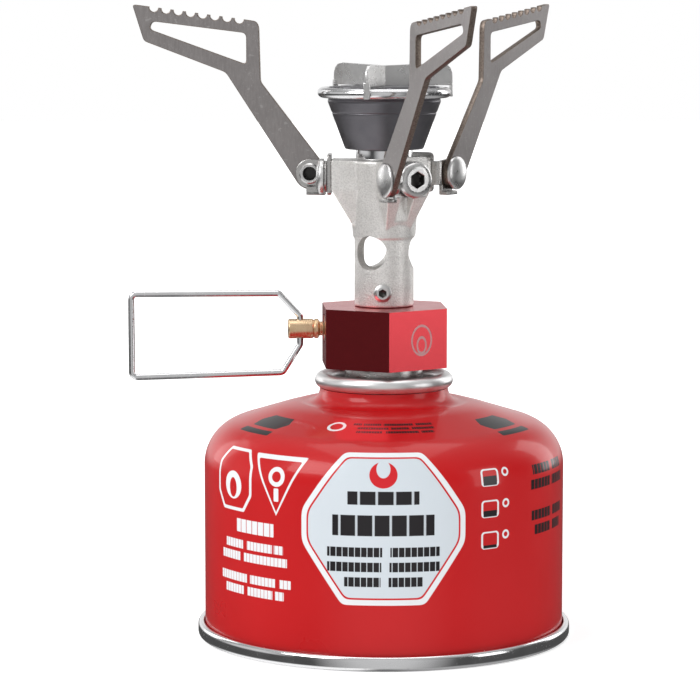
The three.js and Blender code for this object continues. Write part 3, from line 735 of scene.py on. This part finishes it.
def socket_screw(name, profile, across, top, floor, place, count=96):
    """A turned screw whose flat head is broached: a six-sided socket across corners, to floor."""
    turns = [2 * math.pi * k / count for k in range(count)]
    rings = [[(r * math.cos(a), r * math.sin(a), z) for a in turns] for r, z in profile]
    half = math.pi / 6
    for grow, z in ((1.06, top), (1.0, top - 0.12), (1.0, floor)):
        reaches = [across * grow * math.cos(half) / math.cos(a % (2 * half) - half) for a in turns]
        rings.append([(reach * math.cos(a), reach * math.sin(a), z) for reach, a in zip(reaches, turns)])
    rings.append([(0.3 * math.cos(a), 0.3 * math.sin(a), floor - 0.25) for a in turns])
    return flat_sided(lofted(name, rings, place), place, 0.99)


def flat_sided(built, place, least):
    """Shades flat the faces that look along a place's Z."""
    upright = (place.to_3x3() @ Vector((0, 0, 1))).normalized()
    for face in built.data.polygons:
        if abs(face.normal.dot(upright)) > least:
            face.use_smooth = False
    return built


def joined(first, *others):
    """One object holding the meshes of several."""
    work = bmesh.new()
    for part in (first, *others):
        work.from_mesh(part.data)
    work.to_mesh(first.data)
    work.free()
    for part in others:
        bpy.data.objects.remove(part)
    return first


def slab(name, side, low, high, place):
    """A plate whose outline lies in the XZ plane, between two values of Y."""
    return lofted(name, [[(x, y, z) for x, z in side] for y in (low, high)], place)


def arm_place(azimuth):
    """An arm's own frame: +X outward and +Y a quarter turn on."""
    return ON_AXIS @ turned(azimuth - 90, "Z")


def wing(azimuth):
    """One pad with its two tapering ribs."""
    place = arm_place(azimuth)
    side = [(5.6, 99.4), (PAD_R - 0.3, PAD_FOOT - 0.5), (PAD_R, PAD_FOOT), (PAD_R, CAST_TOP),
            (5.6, CAST_TOP)]
    body = slab("pad", side, -PAD_HALF - 1, PAD_HALF + 1, place)
    front = [(-2.9, 98), (2.9, 98), (3.3, 101), (PAD_HALF, PAD_FOOT), (PAD_HALF, 121), (-PAD_HALF, 121),
             (-PAD_HALF, PAD_FOOT), (-3.3, 101)]
    taper = slab("taper", front, -20, 0, place @ turned(90, "Z"))
    boolean(body, taper, "INTERSECT")
    hollow = slab("hollow", [(8.5, 97), (15, 97), (15, PAD_FOOT), (8.5, PAD_FOOT)],
                  -1.7, 1.7, place)
    return boolean(body, hollow)


core_profile = [(0, 82.85), (TUBE_R, 82.85), (TUBE_R, CONE_FOOT - 0.1), (TUBE_R + 0.4, CONE_FOOT + 0.1),
                (9.1, CAST_TOP - 0.5), (8.7, CAST_TOP), (0, CAST_TOP)]
casting = joined(spun("cast_body", core_profile, segments=96), *map(wing, ARMS.values()))
remesh = casting.modifiers.new("skin", "REMESH")
remesh.mode = "VOXEL"
remesh.voxel_size = 0.24 * MM
soften = casting.modifiers.new("soften", "SMOOTH")
soften.factor = 0.5
soften.iterations = 5
applied(casting)
turn_x = turned(90, "Y")
bored(casting, 5.0, 87, 121, segments=96)
bored(casting, 3.3, 82, 87.2)
for azimuth in (-30, 90, 210):
    bored(casting, 4.25, 3, 10, arm_place(azimuth) @ Matrix.Translation((0, 0, 96.4)) @ turn_x, 96)
for azimuth in ARMS.values():
    bored(casting, 2.1, 7.4, 14, arm_place(azimuth) @ Matrix.Translation((0, 0, SWIVEL_Z)) @ turn_x, 48)
casting.data.shade_smooth()
casting.data.set_sharp_from_angle(angle=math.radians(45))

# Shared effect: the fine pebbled skin of a blasted or sand-cast metal.
pebbled, gets, puts = new_group(
    "cast_skin", [("Grain Size", "value", 2200.0), ("Patch Size", "value", 180.0)], ["Height", "Tone"])
spot = object_place(pebbled)
pits = pebbled.nodes.new("ShaderNodeTexVoronoi")
pebbled.links.new(spot, pits.inputs["Vector"])
pebbled.links.new(gets["Grain Size"], pits.inputs["Scale"])
pebbled.links.new(maths(pebbled, "ADD", noise(pebbled, spot, Scale=gets["Grain Size"], Detail=3),
                        maths(pebbled, "MULTIPLY", pits.outputs["Distance"], 0.5)), puts["Height"])
pebbled.links.new(noise(pebbled, spot, Scale=gets["Patch Size"], Detail=3), puts["Tone"])

cast_metal, tree, shader = material_named("blasted_casting")
skin = placed(tree, pebbled, Grain_Size=2600.0, Patch_Size=260.0)
blasted = mixed(tree, span(tree, skin["Tone"], 0.3, 0.7), (0.80, 0.785, 0.76), (0.92, 0.905, 0.88))
pitted = mixed(tree, span(tree, skin["Height"], 0.85, 0.55, 0.0, 0.6), blasted, (0.62, 0.60, 0.58))
finished(tree, shader, pitted, span(tree, skin["Height"], 0.4, 1.0, 0.36, 0.48), metallic=0.8)
bumped(tree, shader, skin["Height"], 0.00012, 0.7)
settle(casting, cast_metal, "stove", "cast_metal", "burner_body")

plated = handled_finish("plated_screw_steel", (0.60, 0.595, 0.59), (0.76, 0.755, 0.75), (0.24, 0.36), 500.0,
                        1400.0, dulled=0.15, nick=0.00002)
# Painted shade: a near-black finish laid inside sockets and bores, where shade falls.
shadowed = handled_finish("painted_socket_shade", (0.035, 0.033, 0.032), (0.09, 0.087, 0.085), (0.3, 0.5), 900.0,
                          1400.0, metallic=0.8)
lock_profile = [(0.95, 4.7), (0.95, 7.5), (2.2, 7.5), (2.25, 7.55), (2.25, 7.9), (2.15, 8.1), (1.8, 8.3),
                (1.5, 8.4)]
lock_place = arm_place(-3) @ Matrix.Translation((0, 0, 86.6)) @ turn_x
lock = socket_screw("lock_screw_head", lock_profile, 1.05, 8.4, 7.7, lock_place)
settle(lock, plated, "stove", "stainless_sheet", "lock_screw")


def darkened(built, place, radius, low, high):
    """Gives the inside of a socket or bore, within radius of the piece's axis, the dark finish: painted
    shade where the hollow would be in shadow.
    """
    built.data.materials.append(shadowed)
    home = place.inverted()
    for face in built.data.polygons:
        at = home @ face.center
        if math.hypot(at.x, at.y) < radius and low < at.z < high:
            face.material_index = 1


# Painted shade inside the lock screw's socket.
darkened(lock, lock_place, 1.06, 7.2, 8.3)

# ---- Burner head: neck, cup, rolled ring, flame plate and wind clip ----
# The spun steel cup stands on a bright turned neck. A rolled ring closes its rim, the pierced
# flame plate drops in, and a three-finned clip hooks over the ring to split the wind.

neck_profile = eased([(5.0, 119.35), (7.1, 119.35), (7.1, 121.85), (5.7, 121.85), (5.7, 123.4),
                      (5.0, 123.4)], 0.15)
settle(spun("turned_neck", neck_profile, segments=96), tin, "stove", "tinplate", "burner_neck")
cup_wall = eased([
    (5.9, 121.9), (9.7, 121.9), (12.97, 130.75), (12.84, 130.95), (13.1, 131.15), (14.1, 133.8),
    (13.8, 134.5), (13.8, 136.6), (13.3, 136.6), (13.3, 133.1), (9.3, 122.5), (5.9, 122.5)], 0.45, 5)
dark_steel = grained_finish(
    "spun_dark_steel", (120.0, 120.0, 3600.0), 0.00003, (190.0, 500.0), (0.105, 0.102, 0.114),
    (0.180, 0.174, 0.188), ((0.20, 0.195, 0.20), 0.5, 0.8, 0.3), (0.30, 0.46), metallic=0.9)
settle(spun("spun_cup", cup_wall, segments=160), dark_steel, "stove", "heat_dark_steel", "burner_cup")
settle(spun("rolled_ring", arc((15.25, 135.9), 1.3, 0, 350, 35), segments=160), polished, "stove",
       "polished_wire", "burner_ring")


def cut_sheet(name, outline, holes, sheet, edge, place):
    """Sheet metal cut to an outline in XZ, centred on Y = 0, with its edges broken."""
    drawing = bpy.data.curves.new(name, "CURVE")
    drawing.dimensions = "2D"
    drawing.fill_mode = "BOTH"
    drawing.extrude = sheet / 2 - edge
    drawing.bevel_depth = edge
    drawing.bevel_resolution = 1
    drawing.offset = -edge
    for loop in (outline, *holes):
        line = drawing.splines.new("POLY")
        line.points.add(len(loop) - 1)
        line.use_cyclic_u = True
        for point, (x, y) in zip(line.points, loop):
            point.co = (x, y, 0, 1)
    draft = bpy.data.objects.new(name, drawing)
    bpy.context.collection.objects.link(draft)
    bpy.context.view_layer.update()
    flat = bpy.data.meshes.new_from_object(draft.evaluated_get(bpy.context.evaluated_depsgraph_get()))
    bpy.data.objects.remove(draft)
    stand = place @ turned(90, "X")
    corners = [tuple(v.co) for v in flat.vertices]
    faces = [list(p.vertices) for p in flat.polygons]
    return flat_sided(made(name, corners, faces, stand, 25), stand, 0.999)


def circle(x, y, radius, steps=32):
    return arc((x, y), radius, 0, 360, steps)[:-1]


WAVES = 18
PORTS = 12
PLATE_R, WAVE_DEPTH = 13.2, 0.4
plate_outline = []
for k in range(WAVES * 10):
    angle = 2 * math.pi * k / (WAVES * 10)
    reach = PLATE_R + WAVE_DEPTH * math.cos(WAVES * angle)
    plate_outline.append((reach * math.cos(angle), reach * math.sin(angle)))
ports = [circle(x, y, 1.0, 24) for x, y in arc((0, 0), 9.6, 180 / PORTS, 360 + 180 / PORTS, PORTS)[:-1]]
plate_place = ON_AXIS @ Matrix.Translation((0, 0, 137.05)) @ turned(-90, "X")
plate = cut_sheet("pierced_plate", plate_outline, ports, 0.6, 0.1, plate_place)
settle(plate, dark_steel, "stove", "heat_dark_steel", "flame_plate")

FIN_FOOT, FIN_TOP = 137.5, 143.0
fin_outline = [(-0.2, FIN_FOOT), (17.6, FIN_FOOT), (17.6, FIN_TOP - 3.6), (17.55, FIN_TOP - 2.4),
               (17.1, FIN_TOP - 1.2), (16.2, FIN_TOP - 0.35), (14.4, FIN_TOP), (-0.2, FIN_TOP - 0.5)]
hook_outline = [(16.9, 134.7), (17.5, 134.7), (17.5, FIN_FOOT + 1.2), (16.9, FIN_FOOT + 1.2)]
fins = []
for azimuth in (-15, 105, 225):
    fins.append(cut_sheet("clip_fin", fin_outline, [], 0.6, 0.12, arm_place(azimuth)))
    fins.append(bevelled(slab("clip_hook", hook_outline, -0.8, 0.8, arm_place(azimuth)), 0.15, 2))
clip = joined(*fins)
clip.name = "three_fin_clip"
settle(clip, plated, "stove", "stainless_sheet", "wind_clip")

# ---- Folding pot supports: screws, brackets, rivets and serrated blades ----
# Each blade is blanked from stainless sheet and riveted to a bent bracket, with a tab under it
# as its stop. A button-head screw with a spring washer holds the bracket to the casting's pad.

PIVOT_X, PIVOT_Z = 18.7, 115.3
LEG_Y = (-7.35, -8.35)
BLADE_Y = (-8.45, -9.95)
SPLAY = -3.5
END_R = 4.05
RIVET_R = 1.9
SHEET = 1.0
BRACKET_LOW, BRACKET_HIGH = 112.4, 118.4


def splayed(azimuth):
    """The frame of one blade, turned a little about the pivot's upright."""
    middle = Vector((PIVOT_X, sum(BLADE_Y) / 2, 0))
    return (arm_place(azimuth) @ Matrix.Translation(middle) @ turned(SPLAY, "Z")
            @ Matrix.Translation(-middle))


def blade_outline():
    """One pot support about its rivet, outward and up."""
    slant = 55
    points = arc((0, 0), END_R, slant + 90, slant + 270, 24)
    points += eased([(2, -3), (21.3, 25.2), (42.0, 33.0), (44.9, 42.2), (41.0, 41.7)], 0.9, 5)[6:-6]
    start, end = Vector((41.0, 41.7)), Vector((16.3, 38.4))
    along = end - start
    lean = math.degrees(math.atan2(along.y, along.x))
    for k in range(8):
        middle = start.lerp(end, (k + 0.5) / 8)
        points += arc(tuple(middle), 1.2, lean + 180, lean, 10)
    points += [tuple(end)] + eased([(16.3, 38.4), (12.9, 37.9), (12.8, 33), (12.5, 22.9)], 3.0, 8)[9:18]
    points += eased([(12.8, 33), (12.5, 22.9), (0, 6)], 0.8, 4)[5:10]
    return points


blade_points = blade_outline()
blade_window = eased([(39.9, 37.95), (16.1, 35.0), (16.1, 27.2), (40.6, 35.95)], 1.2, 5)

blade_steel, tree, shader = material_named("blanked_stainless")
grain = placed(tree, grained, Lines=(2600.0, 2600.0, 420.0))["Grain"]
wear = placed(tree, handled, Patch_Size=110.0, Scratch_Size=420.0)
grey = mixed(tree, wear["Patches"], (0.27, 0.250, 0.246), (0.37, 0.346, 0.342))
bright = mixed(tree, maths(tree, "MULTIPLY", wear["Scratches"], 0.35), grey, (0.62, 0.61, 0.60))
streaked = mixed(tree, span(tree, grain, 0.4, 0.7, 0.0, 0.3), bright, (0.49, 0.466, 0.460))
finished(tree, shader, streaked, span(tree, grain, 0.3, 0.7, 0.30, 0.44))
bumped(tree, shader, grain, 0.00002)

cut_edge, tree, shader = material_named("sheared_edge")
grain = placed(tree, grained, Lines=(2500.0, 2500.0, 2500.0))["Grain"]
brown = mixed(tree, span(tree, grain, 0.35, 0.65), (0.16, 0.125, 0.105), (0.30, 0.25, 0.215))
finished(tree, shader, brown, span(tree, grain, 0.3, 0.7, 0.36, 0.5))
bumped(tree, shader, grain, 0.00004)

leg_outline = [(13.4, BRACKET_LOW), (PIVOT_X, PIVOT_Z - 3.6)]
leg_outline += arc((PIVOT_X, PIVOT_Z), 3.6, -90, 90, 20)[1:] + [(13.4, BRACKET_HIGH)]
base_outline = eased([(-6.2, 110.6), (4.4, 110.6), (4.4, 120.6), (-6.2, 120.6)], 1.2, 5)
bend_outline = arc((14.7, -6.75), 1.6, 180, 262, 10) + arc((14.7, -6.75), 0.6, 262, 180, 8)
bend_outline += [(14.1, -6.0), (13.1, -6.0)]
tab_low = PIVOT_Z - END_R - 1.4
tab_outline, drop_outline = [[(14.8, tab_low), (19.6, tab_low), (19.6, high), (14.8, high)]
                             for high in (tab_low + SHEET, 112.6)]
screw_profile = [(1.9, 7.8), (1.9, 14.95), (4.4, 14.95), (4.5, 15.05), (4.5, 15.75), (4.4, 16.05),
                 (4.15, 16.35), (3.7, 16.65), (3.2, 16.8), (2.9, 16.85)]
washer_profile = eased([(2.2, 14.25), (3.9, 14.25), (3.9, 14.8), (2.2, 14.8)], 0.12)
head, flare = BLADE_Y[1] - 0.08, LEG_Y[0] + 0.08
rivet_profile = [(4.2 * math.sin(math.radians(a)), head - 0.25 - math.cos(math.radians(a)))
                 for a in range(0, 91, 9)]
rivet_profile += [(4.2, head), (RIVET_R, head), (RIVET_R, flare), (2.6, flare), (2.6, flare + 0.35),
                  (2.3, flare + 0.7), (1.75, flare + 0.6), (1.55, flare), (1.5, flare - 2.4),
                  (0, flare - 2.4)]

for side, azimuth in ARMS.items():
    place, splay = arm_place(azimuth), splayed(azimuth)
    swivel_place = place @ Matrix.Translation((0, 0, SWIVEL_Z)) @ turn_x
    screw = socket_screw(f"button_screw_{side}", screw_profile, 2.1, 16.85, 14.5, swivel_place)
    settle(screw, plated, "stove", "tinplate", f"pivot_screw_{side}")
    # Painted shade inside the button screw's socket.
    darkened(screw, swivel_place, 2.13, 14.1, 16.76)
    settle(spun(f"spring_washer_{side}", washer_profile, swivel_place, 64), steel, "stove",
           "stainless_sheet", f"pivot_washer_{side}")

    base_place = place @ Matrix.Translation((13.6, 0, 0)) @ turned(90, "Z")
    base = cut_sheet("bracket_base", base_outline, [circle(0, SWIVEL_Z, 2.1)], SHEET, 0.15, base_place)
    leg = cut_sheet("bracket_leg", leg_outline, [circle(PIVOT_X, PIVOT_Z, RIVET_R + 0.15)], SHEET, 0.15,
                    splay @ Matrix.Translation((0, sum(LEG_Y) / 2, 0)))
    bend = prism("bracket_bend", bend_outline, BRACKET_LOW, BRACKET_HIGH, place)
    tab = slab("bracket_tab", tab_outline, BLADE_Y[1], LEG_Y[0], splay)
    drop = slab("bracket_drop", drop_outline, LEG_Y[1], LEG_Y[0], splay)
    bracket = joined(base, leg, bevelled(bend, 0.12, 2), bevelled(tab, 0.25), bevelled(drop, 0.2))
    bracket.name = f"bent_bracket_{side}"
    settle(bracket, steel, f"bracket_{side}", "stainless_sheet", f"swivel_bracket_{side}")

    rivet_place = splay @ Matrix.Translation((PIVOT_X, 0, PIVOT_Z)) @ turned(-90, "X")
    rivet = spun(f"domed_rivet_{side}", rivet_profile, rivet_place, 96)
    settle(rivet, plated, f"bracket_{side}", "tinplate", f"pivot_rivet_{side}")
    # Painted shade inside the rivet's flared bore.
    darkened(rivet, rivet_place, 1.6, flare - 2.5, flare + 0.1)

    blade = cut_sheet(f"serrated_blade_{side}", blade_points, [blade_window, circle(0, 0, RIVET_R + 0.15)],
                      BLADE_Y[0] - BLADE_Y[1], 0.15,
                      splay @ Matrix.Translation((PIVOT_X, sum(BLADE_Y) / 2, PIVOT_Z)))
    settle(blade, blade_steel, f"support_{side}", "stainless_sheet", f"pot_support_{side}")
    blade.data.materials.append(cut_edge)
    for face in blade.data.polygons:
        face.material_index = int(face.use_smooth)

# ---- Camera, floor and studio ----
# A flat pale floor under large softboxes, seen from just above the pot supports.
# The world's gentle patches stand in for the tables and walls that the metal reflects.

CAMERA_OFF_AXIS = -8.5
CAMERA_BACK = 744.0
CAMERA_UP = 160.4
LOOK_UP = 71.6


def aimed(name, data, spot, target):
    """A camera or lamp at a spot, turned to a target."""
    fitted = bpy.data.objects.new(name, data)
    fitted.location = ON_AXIS @ Vector(spot)
    aim = (ON_AXIS @ Vector(target)) - fitted.location
    fitted.rotation_euler = aim.to_track_quat("-Z", "Y").to_euler()
    bpy.context.collection.objects.link(fitted)
    return fitted


camera_data = bpy.data.cameras.new("studio_camera")
camera_data.lens = 154.0
camera_data.sensor_width = 36.0
camera_data.clip_start = 0.05
camera_data.clip_end = 20.0
bpy.context.scene.camera = aimed("studio_camera", camera_data, (CAMERA_OFF_AXIS, -CAMERA_BACK, CAMERA_UP),
                                 (CAMERA_OFF_AXIS, 0, LOOK_UP))

floor_corners = [(-3000, -3000, 0), (3000, -3000, 0), (3000, 3000, 0), (-3000, 3000, 0)]
floor = made("floor", floor_corners, [(0, 1, 2, 3)], ON_AXIS)
floor.visible_glossy = False
pale, tree, shader = material_named("pale_floor")
shader.inputs["Base Color"].default_value = (0.86, 0.86, 0.86, 1)
shader.inputs["Roughness"].default_value = 0.7
shader.inputs["Emission Color"].default_value = (1, 1, 1, 1)
far = vector_maths(tree, "LENGTH", "Value", object_place(tree))
tree.links.new(span(tree, far, 0.15, 1.0, 0.42, 0.98), shader.inputs["Emission Strength"])
floor.data.materials.append(pale)

world = bpy.data.worlds.new("studio")
bpy.context.scene.world = world
world.use_nodes = True
tree = world.node_tree
backdrop = tree.nodes["Background"]
backdrop.inputs["Color"].default_value = (1, 1, 1, 1)
facing = tree.nodes.new("ShaderNodeSeparateXYZ")
tree.links.new(tree.nodes.new("ShaderNodeTexCoord").outputs["Generated"], facing.inputs[0])
overhead = span(tree, facing.outputs[2], 0.25, 0.9, 0.0, 0.6)
left_table = span(tree, facing.outputs[0], -0.04, -0.2, 0.0, 1.1)
right_table = span(tree, facing.outputs[0], 0.04, 0.2, 0.1, 0.35)
table = maths(tree, "MULTIPLY", span(tree, facing.outputs[2], -0.35, -0.6),
              maths(tree, "MAXIMUM", left_table, right_table))
back_wall = maths(tree, "MULTIPLY", span(tree, facing.outputs[1], 0.45, 0.8, 0.0, 0.85),
                  span(tree, facing.outputs[2], 0.5, 0.2))
back_wall = maths(tree, "MULTIPLY", back_wall, span(tree, facing.outputs[2], -0.12, -0.02))
front = span(tree, facing.outputs[1], -0.7, -0.95, 0.0, 0.55)
glow = maths(tree, "ADD", maths(tree, "ADD", overhead, table), maths(tree, "ADD", back_wall, front))
left_wall = maths(tree, "MULTIPLY", span(tree, facing.outputs[0], -0.82, -0.96, 0.0, 0.6),
                  span(tree, facing.outputs[2], -0.15, 0.0))
glow = maths(tree, "ADD", glow, maths(tree, "ADD", left_wall, 0.08))
seen = tree.nodes.new("ShaderNodeLightPath").outputs["Is Camera Ray"]
tree.links.new(maths(tree, "MAXIMUM", glow, seen), backdrop.inputs["Strength"])


def softbox(name, spot, height, size, power):
    """A rectangular lamp aimed at a height on the can's axis."""
    light = bpy.data.lights.new(name, "AREA")
    light.shape = "RECTANGLE"
    light.size, light.size_y = size
    light.energy = power
    aimed(name, light, spot, (0, 0, height))


softbox("left_softbox", (-640, -500, 640), 80, (0.5, 0.5), 4.4)
softbox("right_softbox", (760, -330, 190), 90, (0.3, 0.5), 1.05)
softbox("top_softbox", (0, 60, 900), 100, (0.7, 0.7), 2.4)
softbox("rear_left_softbox", (-700, 600, 350), 90, (0.3, 0.6), 1.0)
softbox("rear_right_softbox", (650, 500, 300), 90, (0.3, 0.6), 1.2)
bpy.context.scene.view_settings.view_transform = "Standard"
